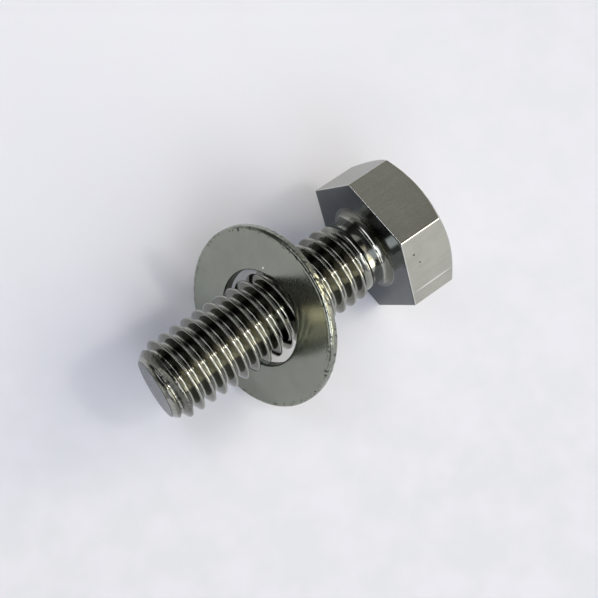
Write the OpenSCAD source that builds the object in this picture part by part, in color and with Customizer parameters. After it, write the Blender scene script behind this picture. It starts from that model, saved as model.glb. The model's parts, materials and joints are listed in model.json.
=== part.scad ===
// Hexagon-head mounting bolt with a loose flat washer on its thread, in millimetres, +Z up.
// It lies as it comes to rest: on the far edge of one head flat and on the washer's rim,
// with the tip slightly raised and the washer leaning back against the thread.

/* [Head] */
// Distance across two opposite flats
head_across_flats = 13; // [10:0.1:17]
// Height of the head above its bearing face
head_height = 5.4; // [4:0.1:8]
// Inset of the round top face from the flats
head_face_inset = 0.33; // [0.1:0.01:0.6]
// Slope of the chamfer on the head's corners, in degrees
head_chamfer_angle = 30; // [15:1:35]
// Radius of the fillet between the bearing face and the neck
neck_fillet = 0.8; // [0.2:0.05:1]

/* [Thread] */
// Diameter over the crests
thread_d = 7.78; // [6:0.01:9]
// Distance from one crest to the next
thread_pitch = 1.25; // [1:0.05:1.75]
// Angle between the two flanks, in degrees
thread_angle = 60; // [55:1:65]
// Length from the bearing face to the flat end
bolt_length = 24.6; // [16:0.1:60]
// Diameter of the plain neck, where no thread is rolled
neck_d = 7; // [5:0.05:8]
// Plain length between the fillet and the first groove
neck_length = 0.7; // [0.1:0.05:3]
// Length over which the thread grows to its full form
runout_length = 1.6; // [1:0.1:5]
// Length of the chamfer at the end
tip_chamfer_length = 1.65; // [0.8:0.05:2.5]
// Depth of the chamfer at the end, on the radius
tip_chamfer_depth = 1.06; // [0.8:0.01:1.4]
// Angle at which the first groove starts
thread_start_angle = 37; // [0:1:359]

/* [Washer] */
// Outside diameter
washer_d = 17.5; // [16:0.1:26]
// Thickness of the sheet it is punched from
washer_thickness = 1; // [0.8:0.05:2]
// Hole diameter over that of the thread
washer_play = 1.42; // [0.5:0.01:2.5]
// Rounding of the outer edges
washer_rim_round = 0.32; // [0.05:0.01:0.38]
// Rounding of the hole's edges
washer_hole_round = 0.15; // [0.05:0.01:0.3]
// Distance of its centre from the bearing face
washer_at = 12.2; // [6:0.1:20]
// Gap left between the leaning washer's hole and the crests
lean_gap = 0.08; // [0.05:0.01:0.2]

/* [Hidden] */
$fn = 96;

// Thread form: flat crest of an eighth of the pitch, straight flanks, flat root
crest_flat = thread_pitch / 8;
root_flat = thread_pitch / 6;
flank_run = (thread_pitch - crest_flat - root_flat) / 2;
thread_depth = flank_run / tan(thread_angle / 2);
crest_r = thread_d / 2;
neck_r = neck_d / 2;
tip_r = crest_r - tip_chamfer_depth;

// Head: the round face where the corner chamfer starts
face_r = head_across_flats / 2 - head_face_inset;
corner_r = head_across_flats / 2 / cos(30);
chamfer_slope = tan(head_chamfer_angle);
flat_reach = head_height - head_face_inset * chamfer_slope;

// Washer: it leans until the two edges of its hole come within the gap of the crests
hole_d = thread_d + washer_play;
lean = acos((thread_d + 2 * lean_gap) / norm([hole_d, washer_thickness]))
    - atan(washer_thickness / hole_d);
rim_core_r = washer_d / 2 - washer_rim_round;
rim_core_t = washer_thickness / 2 - washer_rim_round;

// Rest: the tilt that puts the head's far edge and the washer's rim on the ground together
tilt_sin = washer_at + rim_core_r * sin(lean) - rim_core_t * cos(lean) + flat_reach;
tilt_cos = head_across_flats / 2 - rim_core_r * cos(lean) - rim_core_t * sin(lean);
tilt = asin(washer_rim_round / norm([tilt_sin, tilt_cos])) - atan2(tilt_cos, tilt_sin);
rest_height = flat_reach * sin(tilt) + head_across_flats / 2 * cos(tilt);
back_x = -head_height * cos(tilt) - face_r * sin(tilt);
front_x = bolt_length * cos(tilt) + tip_r * sin(tilt);

// Thread mesh: facets a turn, points across one pitch, and the turns that reach past the tip
facets = 36;
helix_start = neck_fillet + neck_length;
groove_offsets = [0, crest_flat, crest_flat + flank_run, crest_flat + flank_run + root_flat];
groove_depths = [0, 0, thread_depth, thread_depth];
across = len(groove_offsets);
turns = ceil((bolt_length - helix_start) / thread_pitch) + 1;
steps = turns * facets;
overshoot_z = helix_start + (turns + 1) * thread_pitch;

// Fillet rings from inside the head up to the neck, as radius over the neck and height
fillet_angles = [247.5, 225, 202.5];
root_ring = [1.5 * neck_fillet, -0.5 * neck_fillet];
arc_rings = [for (a = fillet_angles) neck_fillet * [1 + cos(a), 1 + sin(a)]];
neck_rings = concat([root_ring], arc_rings);
rings = len(neck_rings);

function smooth(t) = t <= 0 ? 0 : t >= 1 ? 1 : t * t * (3 - 2 * t);
function fade(z) = smooth((z - helix_start) / runout_length);
function polar(r, k, z) = [r * cos(360 * k / facets), r * sin(360 * k / facets), z];

// The tip's cone, which the thread runs into
function cone_r(z) = max(tip_r / 2, tip_r + (bolt_length - z) * tip_chamfer_depth / tip_chamfer_length);

// Crests rise and grooves sink from the neck's radius as the thread grows
function helix_point(k, v) =
    let (z = helix_start + thread_pitch * k / facets + groove_offsets[v])
    let (full_r = crest_r - groove_depths[v])
    polar(min(neck_r + (full_r - neck_r) * fade(z), cone_r(z)), k, z);

helix_points = [for (k = [0:steps]) for (v = [0:across - 1]) helix_point(k, v)];
neck_points = [for (q = neck_rings) for (k = [0:facets - 1]) polar(neck_r + q[0], k, q[1])];
end_points = [for (k = [0:facets - 1]) polar(cone_r(overshoot_z), k, overshoot_z)];

neck_base = len(helix_points);
end_base = neck_base + len(neck_points);
last_turn = steps - facets;

// Indices of a point on the helix (a full count across is the next turn), a neck ring or the end
function hx(k, v) = v < across ? k * across + v : (k + facets) * across + v - across;
function nk(q, k) = neck_base + q * facets + k % facets;
function en(k) = end_base + k % facets;
function quad(a, b, c, d) = [[a, d, c], [a, c, b]];
function fan(apex, chain) = [for (i = [0:len(chain) - 2]) [apex, chain[i + 1], chain[i]]];

helix_faces = [for (k = [0:steps - 1]) for (v = [0:across - 1])
    if (v < across - 1 || k + facets < steps)
        each quad(hx(k, v), hx(k + 1, v), hx(k + 1, v + 1), hx(k, v + 1))];

neck_faces = [for (q = [0:rings - 2]) for (k = [0:facets - 1])
    each quad(nk(q, k), nk(q, k + 1), nk(q + 1, k + 1), nk(q + 1, k))];

// The neck's top ring meets the helix's first edge, and a fan fills the step of one pitch
first_chain = [nk(rings - 1, facets - 1), nk(rings - 1, 0), for (v = [0:across]) hx(0, v)];
first_edge = [for (k = [0:facets - 2])
    each quad(nk(rings - 1, k), nk(rings - 1, k + 1), hx(k + 1, 0), hx(k, 0))];
first_faces = concat(first_edge, fan(hx(facets - 1, 0), first_chain));

// The same at the far end, past the tip
last_chain = [en(1), en(0), for (v = [across - 1:-1:0]) hx(steps, v), hx(last_turn, across - 1)];
last_edge = [for (k = [1:facets - 1])
    each quad(hx(last_turn + k, across - 1), hx(last_turn + k + 1, across - 1), en(k + 1), en(k))];
last_faces = concat(last_edge, fan(hx(last_turn + 1, across - 1), last_chain));

cap_faces = [
    [for (k = [0:facets - 1]) nk(0, k)],
    [for (k = [facets - 1:-1:0]) en(k)]
];

// Neck and helical thread as one closed surface, longer than the bolt
module thread_stock() {
    polyhedron(
        points = concat(helix_points, neck_points, end_points),
        faces = concat(helix_faces, neck_faces, first_faces, last_faces, cap_faces),
        convexity = 2 * turns
    );
}

// The stock cut square at the bolt's length
module shank() {
    intersection() {
        rotate([0, 0, thread_start_angle])
            thread_stock();
        translate([0, 0, -head_height])
            cylinder(h = head_height + bolt_length, r = corner_r);
    }
}

// Hexagon with its outer corners turned to a cone, as a revolve cut to the flats
module head() {
    wide_r = corner_r + head_face_inset;
    intersection() {
        translate([0, 0, -head_height])
            rotate([0, 0, 30])
                cylinder(h = head_height, r = corner_r, $fn = 6);
        rotate_extrude()
            polygon([
                [0, -head_height], [face_r, -head_height],
                [wide_r, -head_height + (wide_r - face_r) * chamfer_slope],
                [wide_r, head_height], [0, head_height]
            ]);
    }
}

// Carries the upright bolt over to the way it lies on the ground
module at_rest() {
    translate([-(back_x + front_x) / 2, 0, rest_height])
        rotate([0, 90 - tilt, 0])
            children();
}

module hex_bolt() {
    color([0.62, 0.62, 0.58])
        at_rest()
            union() {
                head();
                shank();
            }
}

// A quarter round of a section's corner, as points from one angle to the next
function corner(x, y, r, a) = [for (i = [0:3]) [x + r * cos(a + 30 * i), y + r * sin(a + 30 * i)]];

module flat_washer() {
    hole_core_r = hole_d / 2 + washer_hole_round;
    hole_core_t = washer_thickness / 2 - washer_hole_round;
    color([0.60, 0.61, 0.56])
        at_rest()
            translate([0, 0, washer_at])
                rotate([0, -lean, 0])
                    rotate_extrude()
                        polygon(concat(
                            corner(rim_core_r, -rim_core_t, washer_rim_round, 270),
                            corner(rim_core_r, rim_core_t, washer_rim_round, 0),
                            corner(hole_core_r, hole_core_t, washer_hole_round, 90),
                            corner(hole_core_r, -hole_core_t, washer_hole_round, 180)
                        ));
}

hex_bolt();
flat_washer();
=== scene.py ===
"""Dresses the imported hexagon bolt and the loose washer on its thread, and sets the studio round them.

Lengths are in metres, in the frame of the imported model. The bolt's own frame has its origin in the middle
of the bearing face, z along the axis to the tip, y level and x downwards.
"""

import json
from math import acos, atan, cos, hypot, pi, radians, sin, tan

import bmesh
import bpy
import numpy as np
from bpy.props import FloatProperty, FloatVectorProperty, IntProperty, PointerProperty
from mathutils import Euler, Matrix, Vector


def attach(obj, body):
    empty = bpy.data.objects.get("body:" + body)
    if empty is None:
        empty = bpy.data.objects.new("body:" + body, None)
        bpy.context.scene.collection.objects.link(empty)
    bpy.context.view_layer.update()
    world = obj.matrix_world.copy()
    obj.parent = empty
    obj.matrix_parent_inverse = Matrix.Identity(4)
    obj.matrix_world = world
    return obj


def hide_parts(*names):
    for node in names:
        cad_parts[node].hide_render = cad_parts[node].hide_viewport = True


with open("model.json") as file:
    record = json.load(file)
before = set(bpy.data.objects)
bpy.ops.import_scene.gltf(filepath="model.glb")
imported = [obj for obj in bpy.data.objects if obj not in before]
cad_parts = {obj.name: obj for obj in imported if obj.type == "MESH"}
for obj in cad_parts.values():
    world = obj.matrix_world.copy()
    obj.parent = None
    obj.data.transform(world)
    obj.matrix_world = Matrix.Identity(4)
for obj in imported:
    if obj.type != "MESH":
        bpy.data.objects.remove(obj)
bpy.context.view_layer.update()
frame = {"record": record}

bl_info = {
    "name": "Mounting Bolt",
    "version": (1, 0, 0),
    "blender": (4, 5, 0),
    "location": "3D View > Sidebar > Bolt",
    "description": "Hexagon bolt with a rolled thread, its loose washer and a plain studio",
    "category": "Object",
}

TAU = 2 * pi
SECTOR = TAU / 6
MERGE_WITHIN = 2e-8

MOUNTS = {mount["name"]: mount for mount in frame["record"]["mounts"]}
AXIS = np.array(MOUNTS["thread_end"]["axis"], float)
AXIS /= np.linalg.norm(AXIS)
TIP = np.array(MOUNTS["thread_end"]["pos_m"], float)
# Rows: downwards, level and along the bolt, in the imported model's frame
BOLT_AXES = np.array([[AXIS[2], 0, -AXIS[0]], [0, 1, 0], AXIS])

# Rows of the mesh from the middle of a crest to that of a root, in pitches and close on both, then mirrored
HALF_PITCH_ROWS = np.array([0, 0.035, 0.07, 0.115, 0.25, 0.36, 0.41, 0.455, 0.5])
PITCH_ROWS = np.append(HALF_PITCH_ROWS, 1 - HALF_PITCH_ROWS[-2:0:-1])
# Places of the rows along a straight run between two rounded corners, close at both ends
RUN_ROWS = np.array([0.02, 0.08, 0.22, 0.5, 0.78, 0.92, 0.98])

HEAD, BEARING, THREAD, END = range(4)

# Painted shade on each flat of the head, from the lowest one round: how far each flat's colour is darkened to
# stand in for the darker surroundings it mirrors
FLAT_PAINTED_SHADE = np.array([0.3, 0.15, 0, 0, 0.9, 0.45])

# Reach of the bend from the crests into the tip's curve
TIP_BLEND = 0.00012
# How strongly the mesh columns crowd to the head's corners, from nothing to one
CORNER_CROWDING = 0.88

# Unevenness: whole waves round the piece, radians a metre along it, and the seed of its random phases
TIP_RIPPLE = (5, 9, 13, 21, 34), 5200, 3
RIM_MARKS = (31, 47, 61, 83, 118), 4200, 11
RIM_PATCHES = (7, 12, 19), 1500, 12

# Steel: waves a metre of its patches and of the dents in worn places, the height of its relief, the depth
# of the dents in that height, and the colours of single marks
PATCH_SCALE, DENT_SCALE = 420, 3400
RELIEF_HEIGHT, DENT_DEPTH = 1e-5, 1.6
PIT_COLOUR, SCRATCH_COLOUR = (0.05, 0.045, 0.04), (0.85, 0.85, 0.8)
# How worn the half-formed thread at the tip is, where the washer's rim counts as one
TIP_WEAR = 2

# Floor: half its side, its mesh columns, waves a metre of its tones and its tooth, and the tooth's height
FLOOR_REACH, FLOOR_COLUMNS = 1.5, 9
DRIFT_SCALE, MOTTLE_SCALE, TOOTH_SCALE = 14, 200, 2600
TOOTH_HEIGHT = 2e-5

# Single marks: middle and half lengths, in metres along the piece's own axes
HEAD_PITS = (
    ((-0.00476, 0.00476, -0.00111), (0.00013, 0.00013, 0.00013)),
    ((-0.00375, 0.00534, -0.00157), (0.00011, 0.00011, 0.00011)),
)
HEAD_SCRATCHES = (((-0.00125, 0.00677, -0.0026), (0.00008, 0.00008, 0.0026)),)
WASHER_PITS = (
    ((-0.00528, -0.00649, 0.0005), (0.00016, 0.00016, 0.00016)),
    ((-0.00181, 0.00845, 0.0005), (0.00014, 0.00014, 0.0003)),
    ((0.00053, 0.00859, 0.0005), (0.00012, 0.00012, 0.0003)),
)
WASHER_NICKS = (((-0.0046, -0.00237, 0.0005), (0.00012, 0.00012, 0.00012)),)

# Camera: its place in metres and its turn about X, Y and Z in degrees
CAMERA_PLACE, CAMERA_TURN = (0.03321866, 0.03692747, 0.12722689), (22.5614, -2.1125, 141.7308)

# Lamps of the studio: where each lies, its width, its power and its colour
LAMPS = {
    "key": ((-0.33, 0.49, 0.81), 0.05, 0.34, (1, 0.95, 0.84)),
    "front_lamp": ((-0.05, 0.55, 0.83), 0.12, 0.2, (0.92, 0.95, 1)),
    "low_lamp": ((-0.15, 0.85, 0.50), 0.12, 0.12, (0.92, 0.97, 1)),
}
# Radiance of the room itself
ROOM_LIGHT = (0.03, 0.03, 0.03)
# A strip of light over the bolt from the front side, and the walls on the far side: the radiance, then the
# directions that bound it, each with the cosines at which it begins and is full
STRIP_LIGHT = (2.9, 3, 3.3), (
    ((1, 0, 0), (0.08, 0.12)),
    ((-1, 0, 0), (-0.28, -0.24)),
    ((0, 0, 1), (-0.02, 0.1)),
    ((0, 1, 0), (-0.7, -0.4)),
)
WALL_LIGHT = (0.45, 0.45, 0.45), (
    ((0, -1, 0), (-0.2, 0.3)),
    ((0, 0, -1), (-0.45, -0.2)),
)
# Soft round lights: where each lies, the cosines at which it begins and is full, and its radiance
WIDE, NARROW = (0.88, 0.995), (0.955, 0.995)
SOFT_LIGHTS = (
    ((0.40, 0.70, 0.60), (0.94, 0.99), (3, 3.1, 3.4)),
    ((-0.85, 0.27, 0.45), (0.965, 0.995), (6, 5.4, 4)),
    ((-0.64, 0.45, 0.62), WIDE, (1.1, 1, 0.85)),
    ((-0.38, 0.91, 0.17), NARROW, (3.8, 3.6, 3.1)),
    ((-0.74, 0.67, 0.04), WIDE, (1.5, 1.42, 1.38)),
    ((-0.53, 0.75, 0.40), WIDE, (2.2, 2.1, 1.6)),
    ((1.00, 0.00, 0.01), WIDE, (1.1, 1.1, 1.08)),
    ((0.72, 0.65, 0.22), (0.80, 0.95), (0.35, 0.35, 0.36)),
    ((-0.85, 0.00, 0.50), WIDE, (0.5, 0.48, 0.45)),
    ((-0.43, -0.40, 0.81), NARROW, (0.42, 0.42, 0.4)),
    ((0.26, -0.41, 0.88), WIDE, (0.12, 0.12, 0.12)),
    ((0.61, -0.61, 0.51), WIDE, (0.1, 0.1, 0.1)),
    ((-0.81, -0.47, 0.35), WIDE, (0.1, 0.1, 0.1)),
)


# Sizes and colours


def length(name, description, default):
    """A length in metres, shown to a hundredth of a millimetre."""
    return FloatProperty(
        name=name, description=description, default=default,
        min=0, precision=5, subtype="DISTANCE", unit="LENGTH",
    )


def angle(name, description, degrees):
    """An angle, given here in degrees."""
    return FloatProperty(
        name=name, description=description, default=radians(degrees), subtype="ANGLE", unit="ROTATION",
    )


def tint(name, description, default):
    """A linear colour."""
    return FloatVectorProperty(
        name=name, description=description, default=default, min=0, max=1, size=3, subtype="COLOR",
    )


def factor(name, description, default):
    """A plain number from nothing to one."""
    return FloatProperty(
        name=name, description=description, default=default, min=0, max=1, subtype="FACTOR",
    )


def whole_number(name, description, default, low, high):
    """A count within its limits."""
    return IntProperty(name=name, description=description, default=default, min=low, max=high)


class BoltHead(bpy.types.PropertyGroup):
    """Sizes of the hexagon head."""

    across_flats: length("Across flats", "Distance between two opposite flats", 0.013)
    height: length("Height", "Height of the head from its bearing face", 0.0054)
    face_inset: length("Face inset", "Inset of the round top face from the flats", 0.00033)
    chamfer: angle("Chamfer", "Slope of the chamfer on the corners", 30)
    fillet: length("Neck fillet", "Radius between the bearing face and the neck", 0.0008)
    corner_round: length("Corner rounding", "Radius on the six upright edges", 0.00014)
    edge_cut: length("Edge rounding", "Reach of the rounding on the edges of the faces", 0.00013)


class BoltThread(bpy.types.PropertyGroup):
    """Sizes of the threaded shank."""

    crest_diameter: length("Crest diameter", "Diameter over the crests", 0.00778)
    pitch: length("Pitch", "Distance from one crest to the next", 0.00125)
    flank_angle: angle("Flank angle", "Angle between the two flanks", 60)
    bolt_length: length("Length", "Length from the bearing face to the flat end", 0.0246)
    neck_diameter: length("Neck diameter", "Diameter of the plain neck, where no thread is rolled", 0.007)
    neck: length("Neck", "Plain length between the fillet and the first groove", 0.0007)
    runout: length("Run-out", "Length over which the thread grows to its full form", 0.0016)
    tip_length: length("Tip length", "Length of the chamfer at the end", 0.00165)
    tip_depth: length("Tip depth", "Depth of the chamfer at the end, on the radius", 0.00106)
    end_slant: length("End slant", "How far the sheared end drops on its low side", 0.0005)
    end_high: angle("End high side", "Angle of the end's high side", 129)
    tip_round: length("Tip rounding", "Reach of the rounding at the flat end", 0.00006)
    start: angle("Start angle", "Angle at which the first groove starts", 37)
    crest_round: length("Crest rounding", "Softness of the crests", 0.00005)
    root_round: length("Root rounding", "Softness of the roots", 0.00015)
    ripple: length("Tip ripple", "Unevenness of the half-formed thread at the tip", 0.00003)
    per_flat: whole_number("Columns", "Mesh columns over each sixth of a turn", 36, 12, 60)


class LooseWasher(bpy.types.PropertyGroup):
    """Sizes of the washer and how it leans."""

    diameter: length("Diameter", "Outside diameter", 0.0175)
    hole: length("Hole", "Diameter of the hole", 0.0092)
    thickness: length("Thickness", "Thickness of the sheet it is punched from", 0.001)
    rim_round: length("Rim rounding", "Rounding of the outer edges", 0.00032)
    hole_round: length("Hole rounding", "Rounding of the hole's edges", 0.00015)
    place: length("Place", "Distance of its centre from the bearing face", 0.0122)
    lean_gap: length("Lean gap", "Gap left between the hole's edges and the crests", 0.00008)
    rim_wear: length("Rim wear", "Depth of the tumbled marks on the rim", 0.00004)
    columns: whole_number("Columns", "Mesh columns round the washer", 420, 60, 720)


class SteelFinish(bpy.types.PropertyGroup):
    """Colours and gloss of the steel."""

    bright: tint("Bright steel", "Colour of the polished crests and roots", (0.38, 0.385, 0.345))
    satin: tint("Satin steel", "Colour of the brushed flats", (0.46, 0.46, 0.41))
    # Painted shade: the bearing face is given a dark colour for the shadowed floor it mirrors
    bearing: tint("Bearing steel", "Colour of the bearing face", (0.14, 0.15, 0.155))
    sheared: tint("Sheared steel", "Colour of the flat end", (0.12, 0.125, 0.125))
    # Painted shade: the flat end is sheared steel, and its dark colour stands in for the shadowed floor it
    # mirrors
    tumbled: tint("Tumbled steel", "Colour of the washer", (0.28, 0.295, 0.25))
    # Painted shade: the torn wall of the washer's hole is rough, and its near-black colour stands in for the
    # shade inside the hole
    punched: tint("Punched steel", "Colour of the torn wall of the washer's hole", (0.1, 0.1, 0.095))
    # Painted shade: the thread's flanks and the fillet are darkened for the shade they mirror in the grooves
    # and under the bolt
    flank_shade_colour: tint("Flank steel", "Colour of the thread's flanks", (0.13, 0.13, 0.112))
    # Painted highlight: the head's edges are given a near-white colour for the light they catch
    edges: tint("Edge steel", "Colour of the head's rubbed edges", (0.85, 0.85, 0.8))
    head_roughness: factor("Head roughness", "Roughness of the head's flats", 0.2)
    thread_roughness: factor("Thread roughness", "Roughness of the thread", 0.09)
    washer_roughness: factor("Washer roughness", "Roughness of the washer's faces", 0.14)


class Studio(bpy.types.PropertyGroup):
    """The floor, the lights and the camera."""

    floor: tint("Floor", "Colour of the floor", (0.885, 0.905, 0.99))
    brightness: FloatProperty(
        name="Brightness", description="Level of all the lights", default=0.93, min=0, subtype="FACTOR",
    )
    lens: FloatProperty(name="Lens", description="Focal length", default=84.43, min=10, unit="CAMERA")


# Surfaces


def smooth_step(t):
    """3 t^2 - 2 t^3 between nothing and one."""
    t = np.clip(t, 0, 1)
    return t * t * (3 - 2 * t)


def soft_min(a, b, reach):
    """The smaller of two values, less (reach - difference)^2 / (4 reach) where they lie within the reach."""
    return np.minimum(a, b) - np.maximum(reach - np.abs(a - b), 0) ** 2 / (4 * reach)


def soft_max(a, b, reach):
    """The larger of two values, rounded in the same way."""
    return -soft_min(-a, -b, reach)


def wavy(turns, heights, waves, a_metre, seed):
    """Seamless unevenness between nothing and one: a mean of cosines with whole numbers of waves round the
    piece, random phases and random slopes along it, drawn out to both ends by a hyperbolic tangent."""
    along = heights * a_metre
    draw = np.random.default_rng(seed)
    total = np.zeros(np.broadcast(turns, along).shape)
    for count in waves:
        slope, phase, cross = draw.uniform(-1, 1), draw.uniform(0, TAU), draw.uniform(0, TAU)
        total += np.cos(count * turns + slope * along + phase) * np.cos(along * (1 + abs(slope)) + cross)
    return 0.5 + 0.5 * np.tanh(total / np.sqrt(len(waves)) * 1.6)


def bolt_columns(per_flat):
    """Angles round the bolt, from one hexagon corner right round to it again. In each sector they are even
    steps u drawn towards the corners, as u less the crowding times sin(2 pi u) / (2 pi)."""
    u = np.arange(per_flat) / per_flat
    sector = u - CORNER_CROWDING * np.sin(TAU * u) / TAU
    angles = (np.arange(6)[:, None] + sector).ravel() * SECTOR + SECTOR / 2
    return np.append(angles, angles[0] + TAU)


def hexagon_radius(angles, half_flats, corner_round):
    """Distance from the axis to the hexagon: half the flats over the cosine of the angle from the nearest
    flat's middle, and near a corner the far side of a small circle that touches both flats."""
    off = np.abs((angles + SECTOR / 2) % SECTOR - SECTOR / 2)
    core = (half_flats - corner_round) / cos(SECTOR / 2)
    turn = SECTOR / 2 - off
    arc = core * np.cos(turn) + np.sqrt(np.maximum(corner_round**2 - (core * np.sin(turn)) ** 2, 0))
    touch = atan((half_flats - corner_round) * tan(SECTOR / 2) / half_flats)
    return np.where(off < touch, half_flats / np.cos(off), arc)


def rounded_section(corners, cut, bends):
    """Rows of a section through its corners, each given as radius and height for every column. An inner
    corner V becomes the curve (1-t)^2 A + 2 t (1-t) V + t^2 B, where A and B lie the cut's length before and
    after it, or 0.45 of the run if that is less; the straight runs between get rows that crowd to both ends.
    Also returns, for each row, the run that it belongs to."""
    corners = np.stack(np.broadcast_arrays(*[np.stack(np.broadcast_arrays(*c), -1) for c in corners]))
    rows, runs = [corners[0]], [0]
    last = corners[0]
    t = np.linspace(0, 1, bends)[:, None, None]
    for k in range(1, len(corners) - 1):
        before, here, after = corners[k - 1], corners[k], corners[k + 1]
        back, on = before - here, after - here
        a = here + back * np.minimum(cut / np.linalg.norm(back, axis=-1, keepdims=True), 0.45)
        b = here + on * np.minimum(cut / np.linalg.norm(on, axis=-1, keepdims=True), 0.45)
        rows += list(last + (a - last) * RUN_ROWS[:, None, None])
        rows += list((1 - t) ** 2 * a + 2 * t * (1 - t) * here + t**2 * b)
        runs += [k - 1] * (len(RUN_ROWS) + bends // 2) + [k] * (bends - bends // 2)
        last = b
    rows += list(last + (corners[-1] - last) * RUN_ROWS[:, None, None]) + [corners[-1]]
    runs += [len(corners) - 2] * (len(RUN_ROWS) + 1)
    return np.array(rows), np.array(runs)


def thread_drop(thread, angles, heights):
    """Depth below the crest, before any fading. A point is a number of pitches away from the nearest crest of
    the right-hand helix; the flanks fall off in a straight line from the edge of the crest's flat, an eighth
    of the pitch wide, down to the root, and both bends are softened."""
    turns = (heights - thread_start(thread)) / thread.pitch - (angles - thread.start) / TAU - 1 / 16
    away = np.abs((turns + 0.5) % 1 - 0.5)
    fall = thread.pitch * (away - 1 / 16) / tan(thread.flank_angle / 2)
    return soft_min(soft_max(0 * fall, fall, thread.crest_round), thread_depth(thread), thread.root_round)


def thread_start(thread):
    """Height of the first groove above the bearing face."""
    return bpy.context.scene.bolt_head.fillet + thread.neck


def thread_depth(thread):
    """Depth of the groove: what the flank angle gives between a crest of an eighth and a root of a sixth."""
    return thread.pitch * (1 - 1 / 8 - 1 / 6) / 2 / tan(thread.flank_angle / 2)


def shank_radius(thread, angles, heights):
    """Radius of the shank: the neck's radius, from which crests rise and grooves sink over the run-out, and
    no more than the tip's curve, which falls off by the tip's depth times (1 - t)^1.5, where t counts tip
    lengths from the end. The half-formed thread there is a little uneven."""
    crest = thread.crest_diameter / 2
    grown = growth(thread, heights)
    along = (end_height(thread, angles) - heights) / thread.tip_length
    tip = crest - thread.tip_depth * np.maximum(1 - along, 0) ** 1.5 + thread.pitch * np.maximum(along - 1, 0)
    neck = thread.neck_diameter / 2
    radius = neck + (crest - thread_drop(thread, angles, heights) - neck) * grown
    radius = soft_min(radius, tip, TIP_BLEND)
    rough = half_formed(thread, angles, heights)
    return radius - thread.ripple * rough * wavy(angles, heights, *TIP_RIPPLE)


def growth(thread, heights):
    """Nothing up to a fifth of a pitch past the first groove's start, and one where the run-out ends."""
    late = 0.2 * thread.pitch
    return smooth_step((heights - thread_start(thread) - late) / (thread.runout - late))


def half_formed(thread, angles, heights):
    """One where the thread is only half formed, 0.7 of the tip's length from the end, and smoothly down to
    nothing at the end itself and as far on the other side."""
    from_end = end_height(thread, angles) - heights
    return smooth_step(1 - np.abs(from_end / thread.tip_length - 0.7) / 0.7)


def end_height(thread, angles):
    """Height of the end's edge: the bolt's length less half the slant times one minus the cosine of the angle
    from the high side, because the wire was sheared a little askew."""
    return thread.bolt_length - thread.end_slant / 2 * (1 - np.cos(angles - thread.end_high))


def on_bolt(radius, angles, heights):
    """Points at a radius, angle and height about the bolt's axis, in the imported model's frame."""
    own = np.stack(np.broadcast_arrays(radius * np.cos(angles), radius * np.sin(angles), heights), -1)
    return bolt_origin() + own @ BOLT_AXES


def bolt_origin():
    """Middle of the bearing face: the tip's middle less the bolt's length along the axis."""
    return TIP - AXIS * bpy.context.scene.bolt_thread.bolt_length


def head_rows(head, thread, angles):
    """Section of the head at every angle: from the middle of the top face out to its edge, down the chamfer
    cone to the hexagon, along the flat, in over the bearing face, and round the fillet to the shank."""
    half = head.across_flats / 2
    hexagon = hexagon_radius(angles, half, head.corner_round)
    face = half - head.face_inset
    chamfer_end = -head.height + (hexagon - face) * tan(head.chamfer)
    neck = thread.neck_diameter / 2
    level = np.zeros_like(angles)
    section, runs = rounded_section(
        [
            (level, level - head.height),
            (level + face, level - head.height),
            (hexagon, chamfer_end),
            (hexagon, level),
            (level + neck + head.fillet, level),
        ],
        head.edge_cut,
        8,
    )
    bend = np.radians(np.linspace(270, 180, 11))[1:, None] + level
    arc = np.stack([neck + head.fillet * (1 + np.cos(bend)), head.fillet * (1 + np.sin(bend))], -1)
    finish = np.where(runs < 3, HEAD, BEARING)
    return np.concatenate([section, arc]), np.append(finish, np.full(len(arc), THREAD))


def head_highlight_and_shade(head, angles, section):
    """One on the head's edges, where the head's material lays a painted highlight, and on the part of the
    fillet next to the bearing face, where the thread's material lays painted shade; nothing on the flats and
    on the neck's side of the fillet. The largest of three smooth steps: over the angle of a corner's
    rounding, over the distance from the lower edge, and up the fillet."""
    radius, height = section[..., 0], section[..., 1]
    hexagon = hexagon_radius(angles, head.across_flats / 2, head.corner_round)
    off = np.abs((angles + SECTOR / 2) % SECTOR - SECTOR / 2)
    touch = atan((1 - 2 * head.corner_round / head.across_flats) * tan(SECTOR / 2))
    upright = smooth_step((off - touch) / (SECTOR / 2 - touch) * 2) * (hexagon - radius < head.edge_cut)
    lower = smooth_step(1.4 - np.hypot(hexagon - radius, height) / head.edge_cut / 0.8)
    fillet = smooth_step((0.7 - height / head.fillet) / 0.3) * (height > 0)
    return np.maximum(np.maximum(upright, lower), fillet)


def flat_painted_shade(head, angles, section):
    """Painted shade of the nearest flat where the radius is the hexagon's, and nothing off the flats."""
    hexagon = hexagon_radius(angles, head.across_flats / 2, head.corner_round)
    nearest = np.round(angles / SECTOR).astype(int) % 6
    return np.isclose(section[..., 0], hexagon, atol=1e-6) * FLAT_PAINTED_SHADE[nearest]


def flank_painted_shade(thread, section):
    """Where painted shade darkens the thread: one on the flanks of the grown thread; nothing on its crests
    and roots and on the neck. Smooth steps over the first 0.15 and the last 0.12 of the depth, times the
    thread's growth."""
    radius, height = section[..., 0], section[..., 1]
    drop = (thread.crest_diameter / 2 - radius) / thread_depth(thread)
    return smooth_step(drop / 0.15) * smooth_step((1 - drop) / 0.12) * growth(thread, height)


def shank_rows(head, thread, angles):
    """Rows of the shank that climb with the helix, so that each runs along a crest, a flank or a root, held
    between the fillet and the rounding of the flat end. Returns radius and height."""
    low, high = head.fillet, end_height(thread, angles) - thread.tip_round
    start = thread_start(thread)
    first = np.floor((low - start) / thread.pitch) - 1
    last = np.ceil((thread.bolt_length - start) / thread.pitch) + 1
    pitches = (np.arange(first, last + 1)[:, None] + PITCH_ROWS).ravel() + 1 / 16
    heights = start + thread.pitch * (pitches[:, None] + (angles - thread.start) / TAU)
    heights = np.clip(heights, low, high)
    return np.stack([shank_radius(thread, angles + 0 * heights, heights), heights], -1)


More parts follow.
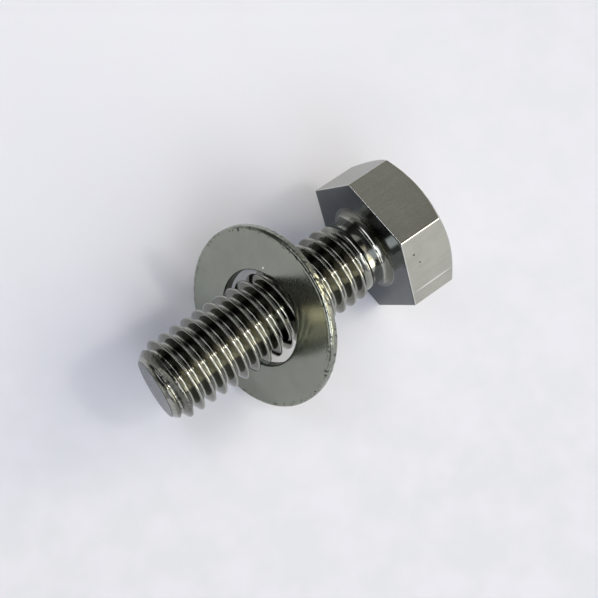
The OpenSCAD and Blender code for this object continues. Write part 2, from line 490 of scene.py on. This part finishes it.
def end_rows(thread, angles):
    """Rows over the flat end: from the cone round a soft edge, as a curve with its middle point on the sharp
    edge, and in over the flat, from 1.3 roundings inside that edge, to the axis."""
    top = end_height(thread, angles)
    level = np.zeros_like(angles)
    high = top - thread.tip_round
    rim = np.stack([shank_radius(thread, angles, high), high], -1)
    edge_radius = thread.crest_diameter / 2 - thread.tip_depth
    edge = np.stack([level + edge_radius, top], -1)
    inner = 1 - 1.3 * thread.tip_round / edge_radius
    pole = np.stack([level, level + thread.bolt_length - thread.end_slant / 2], -1)
    flat = pole + (edge - pole) * inner
    t = np.linspace(0, 1, 10)[:, None, None]
    bend = (1 - t) ** 2 * rim + 2 * t * (1 - t) * edge + t**2 * flat
    across = flat + (pole - flat) * np.append(RUN_ROWS, 1)[:, None, None]
    return np.concatenate([bend, across])


def washer_lean(washer, thread):
    """Angle at which both edges of the hole come within the gap of the crests, on opposite sides."""
    reach = thread.crest_diameter + 2 * washer.lean_gap
    return acos(reach / hypot(washer.hole, washer.thickness)) - atan(washer.thickness / washer.hole)


def quarter(x, y, radius, degrees, steps):
    """Points of a quarter circle that starts at an angle."""
    a = np.radians(degrees + np.linspace(0, 90, steps))
    return np.stack([x + radius * np.cos(a), y + radius * np.sin(a)], -1)


def washer_section(washer):
    """Closed section of the washer, as radius and height: up the rim, in over the front, down the hole and
    out over the back, with quarter circles at the four corners. The second result is 1 on the rim, and the
    third gives each row its finish."""
    half = washer.thickness / 2
    rim = washer.diameter / 2 - washer.rim_round
    rim_half = half - washer.rim_round
    hole = washer.hole / 2 + washer.hole_round
    hole_half = half - washer.hole_round
    run = np.linspace(0, 1, 16)[1:-1, None]
    bends = [
        quarter(rim, -rim_half, washer.rim_round, 270, 12),
        quarter(rim, rim_half, washer.rim_round, 0, 12),
        quarter(hole, hole_half, washer.hole_round, 90, 8),
        quarter(hole, -hole_half, washer.hole_round, 180, 8),
    ]
    rows, worn, finish = [], [], []
    for k, bend in enumerate(bends):
        after = bends[(k + 1) % 4][0]
        straight = bend[-1] + (after - bend[-1]) * (run if k % 2 else run[::3])
        rows += [bend, straight]
        worn += [np.full(len(bend), float(k < 2)), np.full(len(straight), float(k == 0))]
        finish += [np.full(len(bend), int(k == 3)), np.full(len(straight), int(k == 2))]
    rows.append(bends[0][:1])
    worn.append(np.ones(1))
    finish.append(np.zeros(1, int))
    return np.concatenate(rows), np.concatenate(worn), np.concatenate(finish)


# Meshes


def solid_mesh(name, grids, attributes):
    """One closed mesh from grids of points. Each grid is (points by row and column, finish by row); its quads
    join neighbouring rows and columns, and points that fall together are merged. An attribute holds one
    number for each point, in an array for each grid."""
    points = np.concatenate([grid.reshape(-1, 3) for grid, _ in grids])
    quads, finishes, first = [], [], 0
    for grid, finish in grids:
        rows, columns = grid.shape[:2]
        corner = first + np.arange(rows - 1)[:, None] * columns + np.arange(columns - 1)
        beyond = corner + columns
        quads.append(np.stack([corner, corner + 1, beyond + 1, beyond], -1).reshape(-1, 4))
        finishes.append(np.repeat(finish[1:], columns - 1))
        first += rows * columns
    quads, finishes = np.concatenate(quads), np.concatenate(finishes)

    mesh = bpy.data.meshes.new(name)
    mesh.vertices.add(len(points))
    mesh.vertices.foreach_set("co", points.astype(np.float32).ravel())
    mesh.loops.add(quads.size)
    mesh.loops.foreach_set("vertex_index", quads.astype(np.int32).ravel())
    mesh.polygons.add(len(quads))
    mesh.polygons.foreach_set("loop_start", np.arange(0, quads.size, 4, dtype=np.int32))
    mesh.polygons.foreach_set("material_index", finishes.astype(np.int32))
    mesh.update(calc_edges=True)
    for key, parts in attributes.items():
        values = np.concatenate([part.ravel() for part in parts]).astype(np.float32)
        mesh.attributes.new(key, "FLOAT", "POINT").data.foreach_set("value", values)

    work = bmesh.new()
    work.from_mesh(mesh)
    bmesh.ops.remove_doubles(work, verts=work.verts, dist=MERGE_WITHIN)
    bmesh.ops.dissolve_degenerate(work, edges=work.edges, dist=MERGE_WITHIN / 10)
    open_edges = sum(not edge.is_manifold for edge in work.edges)
    work.to_mesh(mesh)
    work.free()
    if open_edges:
        raise RuntimeError(f"{name}: {open_edges} edges aren't closed")
    mesh.polygons.foreach_set("use_smooth", np.ones(len(mesh.polygons), bool))
    mesh.update()
    return mesh


def place(name, mesh, materials):
    """Puts a mesh into the scene at the origin, with its materials."""
    piece = bpy.data.objects.new(name, mesh)
    bpy.context.scene.collection.objects.link(piece)
    for material in materials:
        mesh.materials.append(material)
    return piece


# Materials


def add(tree, kind, values=None, links=None, **settings):
    """A new node with its settings, socket values and incoming links."""
    node = tree.nodes.new(kind)
    for key, value in settings.items():
        setattr(node, key, value)
    for key, value in (values or {}).items():
        node.inputs[key].default_value = value
    for key, source in (links or {}).items():
        tree.links.new(source, node.inputs[key])
    return node


def new_material(name):
    """An empty node material and its shader."""
    material = bpy.data.materials.new(name)
    material.use_nodes = True
    tree = material.node_tree
    tree.nodes.clear()
    shader = add(tree, "ShaderNodeBsdfPrincipled")
    add(tree, "ShaderNodeOutputMaterial", links={"Surface": shader.outputs["BSDF"]})
    return material, tree, shader


def own_coordinates(tree, axes, origin, scale=(1, 1, 1)):
    """Object coordinates turned into a piece's own frame, then scaled."""
    place_of = add(tree, "ShaderNodeTexCoord")
    turn = Matrix(axes.tolist()).transposed().to_euler()
    own = add(
        tree, "ShaderNodeMapping", vector_type="TEXTURE",
        values={"Location": Vector(origin), "Rotation": turn},
        links={"Vector": place_of.outputs["Object"]},
    )
    if scale == (1, 1, 1):
        return own.outputs["Vector"]
    stretched = add(
        tree, "ShaderNodeMapping", values={"Scale": scale}, links={"Vector": own.outputs["Vector"]},
    )
    return stretched.outputs["Vector"]


def grain(tree, coordinates, scale, detail=4.0, roughness=0.6):
    """Noise of a scale, in waves a metre."""
    noise = add(
        tree, "ShaderNodeTexNoise",
        values={"Scale": scale, "Detail": detail, "Roughness": roughness}, links={"Vector": coordinates},
    )
    return noise.outputs["Fac"]


def spread(tree, value, low, high, to_low, to_high):
    """A value carried from one range to another, and held there."""
    mapped = add(
        tree, "ShaderNodeMapRange",
        values={"From Min": low, "From Max": high, "To Min": to_low, "To Max": to_high},
        links={"Value": value},
    )
    return mapped.outputs["Result"]


def blend_colour(tree, amount, first, second):
    """A colour between two, each a plain colour or a socket."""
    mix = add(tree, "ShaderNodeMix", data_type="RGBA")
    sockets = {s.identifier: s for s in mix.inputs}
    for key, colour in (("A_Color", first), ("B_Color", second)):
        if isinstance(colour, bpy.types.NodeSocket):
            tree.links.new(colour, sockets[key])
        else:
            sockets[key].default_value = (*colour, 1)
    tree.links.new(amount, sockets["Factor_Float"])
    return next(s for s in mix.outputs if s.identifier == "Result_Color")


def combine(tree, first, second, operation="ADD"):
    """Two values joined by plain arithmetic."""
    node = add(tree, "ShaderNodeMath", operation=operation)
    for socket, value in zip(node.inputs, (first, second)):
        if isinstance(value, bpy.types.NodeSocket):
            tree.links.new(value, socket)
        else:
            socket.default_value = value
    return node.outputs["Value"]


def darker(colour, share):
    """A colour taken down to a share of itself."""
    return tuple(share * c for c in colour)


def spots(tree, own, marks):
    """One within small ellipsoids and nothing outside them, with soft edges. A mark is its middle and its
    half lengths along the piece's axes."""
    total = 0.0
    for middle, reach in marks:
        scaled = add(tree, "ShaderNodeVectorMath", operation="DIVIDE", links={0: own})
        scaled.inputs[1].default_value = reach
        away = add(tree, "ShaderNodeVectorMath", operation="DISTANCE", links={0: scaled.outputs["Vector"]})
        away.inputs[1].default_value = [m / r for m, r in zip(middle, reach)]
        total = combine(tree, total, spread(tree, away.outputs["Value"], 0.6, 1, 1, 0), "MAXIMUM")
    return total


def steel(
    name, axes, origin, colour, roughness, brush, brush_depth,
    specks=(8000, 0.06), second=None, pits=(), scratches=(),
):
    """Bare steel: patches of tone a few millimetres wide, fine specks that vary the gloss, and brush marks
    stretched along one direction, which show as tone and relief. Brush gives their waves a metre along the
    piece's axes, and specks their waves a metre and depth. Places with painted shade are darker, and worn
    ones dented and nicked. Where the tone attribute is one, a second colour takes over: painted shade on the
    thread's flanks and fillet, and a painted highlight on the head's edges. Single pits and scratches lie
    where they are given."""
    material, tree, shader = new_material(name)
    own = own_coordinates(tree, axes, origin)
    worn = add(tree, "ShaderNodeAttribute", attribute_name="worn").outputs["Fac"]
    patches = grain(tree, own, PATCH_SCALE, 3)
    fine = grain(tree, own, specks[0], 2, 0.5)
    dents = grain(tree, own, DENT_SCALE, 2, 0.55)
    marks = grain(tree, own_coordinates(tree, axes, origin, brush), 1, 3, 0.55)
    mixed = blend_colour(tree, spread(tree, patches, 0.35, 0.65, 0, 1), darker(colour, 0.9), colour)
    # Painted shade: chosen flats of the head are darkened towards 0.35 of their colour
    painted_shade = add(tree, "ShaderNodeAttribute", attribute_name="painted_shade").outputs["Fac"]
    mixed = blend_colour(tree, painted_shade, mixed, darker(colour, 0.35))
    mixed = blend_colour(tree, spread(tree, marks, 0.4, 0.7, 0, brush_depth), mixed, darker(colour, 0.75))
    gloss = spread(tree, fine, 0.3, 0.7, 0.75 * roughness, 1.3 * roughness)
    # Painted light through the tone attribute: a painted highlight on the head's edges, and painted shade on
    # the thread's flanks and fillet
    if second:
        tone = add(tree, "ShaderNodeAttribute", attribute_name="tone").outputs["Fac"]
        painted_light_share = combine(tree, tone, spread(tree, patches, 0.3, 0.7, 0.75, 1), "MULTIPLY")
        mixed = blend_colour(tree, painted_light_share, mixed, second)
    nicks = combine(tree, spread(tree, dents, 0.42, 0.37, 0, 1), worn, "MULTIPLY")
    mixed = blend_colour(tree, nicks, mixed, darker(colour, 0.25))
    if pits:
        mixed = blend_colour(tree, spots(tree, own, pits), mixed, PIT_COLOUR)
    if scratches:
        mixed = blend_colour(tree, spots(tree, own, scratches), mixed, SCRATCH_COLOUR)
    relief = combine(tree, marks, brush_depth, "MULTIPLY")
    relief = combine(tree, relief, combine(tree, fine, specks[1], "MULTIPLY"))
    dented = combine(tree, dents, combine(tree, worn, DENT_DEPTH, "MULTIPLY"), "MULTIPLY")
    relief = combine(tree, relief, dented)
    bump = add(
        tree, "ShaderNodeBump", values={"Strength": 1, "Distance": RELIEF_HEIGHT}, links={"Height": relief},
    )
    shader.inputs["Metallic"].default_value = 1
    tree.links.new(mixed, shader.inputs["Base Color"])
    tree.links.new(gloss, shader.inputs["Roughness"])
    tree.links.new(bump.outputs["Normal"], shader.inputs["Normal"])
    return material


def floor_material(colour):
    """Pale matt paper with a faint tooth and slow drifts of tone."""
    material, tree, shader = new_material("pale_paper")
    at = add(tree, "ShaderNodeTexCoord").outputs["Object"]
    drift = spread(tree, grain(tree, at, DRIFT_SCALE, 0), 0.35, 0.65, 0, 1)
    mixed = blend_colour(tree, drift, darker(colour, 0.9), colour)
    mottle = spread(tree, grain(tree, at, MOTTLE_SCALE, 2), 0.4, 0.65, 0, 0.5)
    mixed = blend_colour(tree, mottle, mixed, (colour[0], 0.98 * colour[1], colour[2]))
    tooth = add(
        tree, "ShaderNodeBump",
        values={"Strength": 0.3, "Distance": TOOTH_HEIGHT}, links={"Height": grain(tree, at, TOOTH_SCALE, 4)},
    )
    tree.links.new(mixed, shader.inputs["Base Color"])
    tree.links.new(tooth.outputs["Normal"], shader.inputs["Normal"])
    shader.inputs["Roughness"].default_value = 0.9
    return material


# Operators


class MOUNTBOLT_OT_bolt(bpy.types.Operator):
    """Make the bolt: hexagon head, fillet, rolled thread and flat end in one closed surface"""

    bl_idname = "mountbolt.bolt"
    bl_label = "Make Bolt"

    def execute(self, context):
        scene = context.scene
        head, thread, finish = scene.bolt_head, scene.bolt_thread, scene.bolt_finish
        angles = bolt_columns(thread.per_flat)
        top, top_finish = head_rows(head, thread, angles)
        shank = shank_rows(head, thread, angles)
        end = end_rows(thread, angles)
        finishes = top_finish, np.full(len(shank), THREAD), np.full(len(end), END)
        grids = [
            (on_bolt(section[..., 0], angles, section[..., 1]), kind)
            for section, kind in zip((top, shank, end), finishes)
        ]
        no_top, no_shank, no_end = (np.zeros(section.shape[:2]) for section in (top, shank, end))
        attributes = {
            # Painted highlight on the head's edges, and painted shade on the fillet and the thread's flanks
            "tone": (head_highlight_and_shade(head, angles, top), flank_painted_shade(thread, shank), no_end),
            "worn": (no_top, TIP_WEAR * half_formed(thread, angles, shank[..., 1]), no_end),
            # Painted shade on chosen flats of the head
            "painted_shade": (flat_painted_shade(head, angles, top), no_shank, no_end),
        }
        mesh = solid_mesh("threaded_bolt", grids, attributes)
        origin = bolt_origin()
        bright, satin = tuple(finish.bright), tuple(finish.satin)
        bearing, sheared = tuple(finish.bearing), tuple(finish.sheared)
        materials = [
            # The head's edges get a painted highlight, and chosen flats painted shade
            steel(
                "head_steel", BOLT_AXES, origin, satin, finish.head_roughness, (7000, 7000, 300), 0.35,
                (9000, 0.04), tuple(finish.edges), HEAD_PITS, HEAD_SCRATCHES,
            ),
            # Painted shade: the bearing face's dark colour
            steel("bearing_painted_shade", BOLT_AXES, origin, bearing, 0.1, (2500, 2500, 2500), 0.15),
            # The thread's flanks and the fillet get painted shade
            steel(
                "thread_steel", BOLT_AXES, origin, bright, finish.thread_roughness, (1500, 1500, 9000), 0.12,
                second=tuple(finish.flank_shade_colour),
            ),
            # Painted shade: the flat end's dark colour
            steel("end_painted_shade", BOLT_AXES, origin, sheared, 0.25, (3000, 3000, 3000), 0.3, (7000, 0.1)),
        ]
        piece = place("threaded_bolt", mesh, materials)
        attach(piece, "bolt")
        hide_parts("hex_bolt")
        return {"FINISHED"}


class MOUNTBOLT_OT_washer(bpy.types.Operator):
    """Make the washer that leans on the thread, with its tumbled rim"""

    bl_idname = "mountbolt.washer"
    bl_label = "Make Washer"

    def execute(self, context):
        scene = context.scene
        washer, finish = scene.bolt_washer, scene.bolt_finish
        lean = washer_lean(washer, scene.bolt_thread)
        own_axes = np.array([[cos(lean), 0, sin(lean)], [0, 1, 0], [-sin(lean), 0, cos(lean)]])
        axes = own_axes @ BOLT_AXES
        origin = bolt_origin() + AXIS * washer.place
        turns = np.linspace(0, TAU, washer.columns + 1)
        section, worn, kinds = washer_section(washer)
        radius, height = section[:, :1], section[:, 1:]
        marks = wavy(turns, height, *RIM_MARKS) * wavy(turns, height, *RIM_PATCHES)
        radius = radius - washer.rim_wear * worn[:, None] * marks
        own = np.stack([radius * np.cos(turns), radius * np.sin(turns), height + 0 * turns], -1)
        grid = origin + own @ axes
        mesh = solid_mesh("leaning_washer", [(grid, kinds)], {"worn": [np.repeat(worn, len(turns))]})
        materials = [
            steel(
                "tumbled_steel", axes, origin, tuple(finish.tumbled), finish.washer_roughness,
                (1800, 5200, 5200), 0.12, (9000, 0.1), pits=WASHER_PITS, scratches=WASHER_NICKS,
            ),
            # Painted shade: the near-black wall of the hole
            steel(
                "bore_painted_shade", axes, origin, tuple(finish.punched), 0.4,
                (3000, 3000, 900), 0.6, (6000, 0.5),
            ),
        ]
        piece = place("leaning_washer", mesh, materials)
        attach(piece, "washer")
        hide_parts("flat_washer")
        return {"FINISHED"}


class MOUNTBOLT_OT_stage(bpy.types.Operator):
    """Set the floor, the lights, the surroundings and the camera"""

    bl_idname = "mountbolt.stage"
    bl_label = "Set Stage"

    def execute(self, context):
        scene = context.scene
        studio = scene.bolt_studio
        steps = np.linspace(-FLOOR_REACH, FLOOR_REACH, FLOOR_COLUMNS)
        x, y = np.meshgrid(steps, steps)
        cells = np.arange(FLOOR_COLUMNS - 1)[:, None] * FLOOR_COLUMNS + np.arange(FLOOR_COLUMNS - 1)
        beyond = cells + FLOOR_COLUMNS
        mesh = bpy.data.meshes.new("floor")
        mesh.from_pydata(
            np.stack([x, y, 0 * x], -1).reshape(-1, 3).tolist(), [],
            np.stack([cells, cells + 1, beyond + 1, beyond], -1).reshape(-1, 4).tolist(),
        )
        floor = place("floor", mesh, [floor_material(tuple(studio.floor))])

        for name, (direction, width, power, colour) in LAMPS.items():
            self.light(scene, name, direction, width, power * studio.brightness, colour)
        self.surroundings(scene, studio.brightness)

        camera = bpy.data.cameras.new("camera")
        camera.sensor_width = 36
        camera.lens = studio.lens
        camera.clip_start, camera.clip_end = 0.005, 20
        taker = bpy.data.objects.new("camera", camera)
        scene.collection.objects.link(taker)
        turn = Euler([radians(degrees) for degrees in CAMERA_TURN])
        taker.matrix_world = Matrix.LocRotScale(Vector(CAMERA_PLACE), turn, None)
        scene.camera = taker
        scene.view_settings.view_transform = "Standard"
        scene.view_settings.look = "None"
        return {"FINISHED"}

    def light(self, scene, name, direction, width, power, colour):
        """A square soft light half a metre from the bolt, turned to face it."""
        lamp = bpy.data.lights.new(name, "AREA")
        lamp.size = width
        lamp.energy = power
        lamp.color = colour
        holder = bpy.data.objects.new(name, lamp)
        scene.collection.objects.link(holder)
        towards = Vector(direction).normalized()
        pose = towards.to_track_quat("Z", "Y").to_matrix().to_4x4()
        pose.translation = towards / 2
        holder.matrix_world = pose

    def facing(self, tree, towards, direction, edges):
        """How far a ray looks in a direction: a smooth step of its cosine from one edge to the other."""
        dot = add(tree, "ShaderNodeVectorMath", operation="DOT_PRODUCT", links={0: towards})
        dot.inputs[1].default_value = Vector(direction).normalized()
        eased = add(
            tree, "ShaderNodeMapRange", interpolation_type="SMOOTHSTEP",
            values={"From Min": edges[0], "From Max": edges[1]}, links={"Value": dot.outputs["Value"]},
        )
        return eased.outputs["Result"]

    def surroundings(self, scene, brightness):
        """A dark room with paler walls on the far side, a strip of light overhead and soft round lights, each
        fading from its middle outwards. The radiances add up, each times the facing of all its bounds."""
        world = bpy.data.worlds.new("pale_room")
        world.use_nodes = True
        tree = world.node_tree
        tree.nodes.clear()
        towards = add(tree, "ShaderNodeTexCoord").outputs["Generated"]
        lights = [STRIP_LIGHT, WALL_LIGHT]
        lights += [(colour, ((direction, edges),)) for direction, edges, colour in SOFT_LIGHTS]
        room = add(tree, "ShaderNodeCombineXYZ", values=dict(zip("XYZ", ROOM_LIGHT))).outputs["Vector"]
        for colour, bounds in lights:
            amount = 1.0
            for direction, edges in bounds:
                facing = self.facing(tree, towards, direction, edges)
                amount = combine(tree, amount, facing, "MULTIPLY")
            scaled = add(tree, "ShaderNodeVectorMath", operation="SCALE", links={"Scale": amount})
            scaled.inputs[0].default_value = colour
            joined = add(tree, "ShaderNodeVectorMath", links={0: room, 1: scaled.outputs["Vector"]})
            room = joined.outputs["Vector"]
        glow = add(tree, "ShaderNodeBackground", values={"Strength": brightness}, links={"Color": room})
        add(tree, "ShaderNodeOutputWorld", links={"Surface": glow.outputs["Background"]})
        scene.world = world


class MOUNTBOLT_PT_panel(bpy.types.Panel):
    """Sizes, colours and steps of the bolt."""

    bl_idname = "MOUNTBOLT_PT_panel"
    bl_label = "Mounting Bolt"
    bl_space_type = "VIEW_3D"
    bl_region_type = "UI"
    bl_category = "Bolt"

    def draw(self, context):
        for group in PROPERTY_SETS:
            box = self.layout.box()
            values = getattr(context.scene, group)
            for key in values.bl_rna.properties.keys():
                if key not in {"rna_type", "name"}:
                    box.prop(values, key)
        for operator in OPERATORS:
            self.layout.operator(operator.bl_idname)


PROPERTY_SETS = {
    "bolt_head": BoltHead,
    "bolt_thread": BoltThread,
    "bolt_washer": LooseWasher,
    "bolt_finish": SteelFinish,
    "bolt_studio": Studio,
}
OPERATORS = (MOUNTBOLT_OT_stage, MOUNTBOLT_OT_bolt, MOUNTBOLT_OT_washer)
CLASSES = (*PROPERTY_SETS.values(), *OPERATORS, MOUNTBOLT_PT_panel)


def register():
    for cls in CLASSES:
        bpy.utils.register_class(cls)
    for key, cls in PROPERTY_SETS.items():
        setattr(bpy.types.Scene, key, PointerProperty(type=cls))


def unregister():
    for key in PROPERTY_SETS:
        delattr(bpy.types.Scene, key)
    for cls in reversed(CLASSES):
        bpy.utils.unregister_class(cls)


def main():
    register()
    bpy.ops.mountbolt.stage()
    bpy.ops.mountbolt.bolt()
    bpy.ops.mountbolt.washer()


if __name__ == "__main__":
    main()
